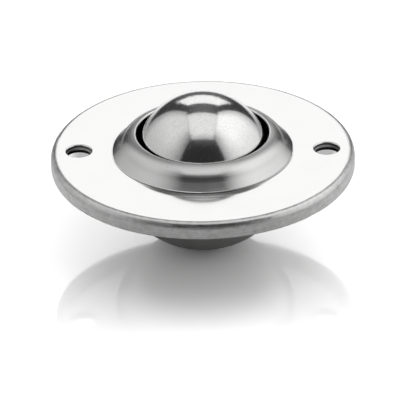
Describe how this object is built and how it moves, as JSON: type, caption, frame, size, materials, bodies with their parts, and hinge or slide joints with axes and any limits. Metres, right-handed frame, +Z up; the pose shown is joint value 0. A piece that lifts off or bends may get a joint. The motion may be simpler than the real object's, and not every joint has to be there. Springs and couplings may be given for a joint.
{
  "type": "ball castor",
  "caption": "Flange-fixing ball castor: a polished steel load ball turns on a bed of small balls in a round cup, under a bezel and a round flange with screw holes.",
  "frame": {"origin": "centre of the flange's top face, midway between the two screw holes", "axes": "+X through the two screw holes, +Z up out of the mouth through the load ball"},
  "size_m": [0.0577, 0.0576, 0.0304],
  "materials": {
    "flange_steel": "satin pressed stainless steel",
    "bezel_steel": "fine turned stainless steel",
    "cup_steel": "dull drawn stainless steel",
    "race_steel": "ground hardened steel",
    "ball_steel": "mirror-polished stainless steel with hairline scratches",
    "bearing_steel": "polished bearing steel"
  },
  "bodies": {
    "housing": {"flange_plate": "flange_steel", "bezel_ring": "bezel_steel", "outer_cup": "cup_steel", "race_cup": "race_steel"},
    "ball_bed": {"bearing_balls_row_1": "bearing_steel", "bearing_balls_row_2": "bearing_steel", "bearing_balls_row_3": "bearing_steel", "bearing_balls_row_4": "bearing_steel", "bearing_balls_row_5": "bearing_steel", "bearing_balls_row_6": "bearing_steel"},
    "load_ball": {"main_ball": "ball_steel"}
  },
  "joints": [
    {"name": "bed_orbit", "type": "hinge", "parent": "housing", "child": "ball_bed", "pos_m": [0, 0, -0.0016], "axis": [0, 0, 1], "continuous": true},
    {"name": "ball_roll", "type": "hinge", "parent": "ball_bed", "child": "load_ball", "pos_m": [0, 0, -0.0016], "axis": [1, 0, 0], "continuous": true}
  ]
}
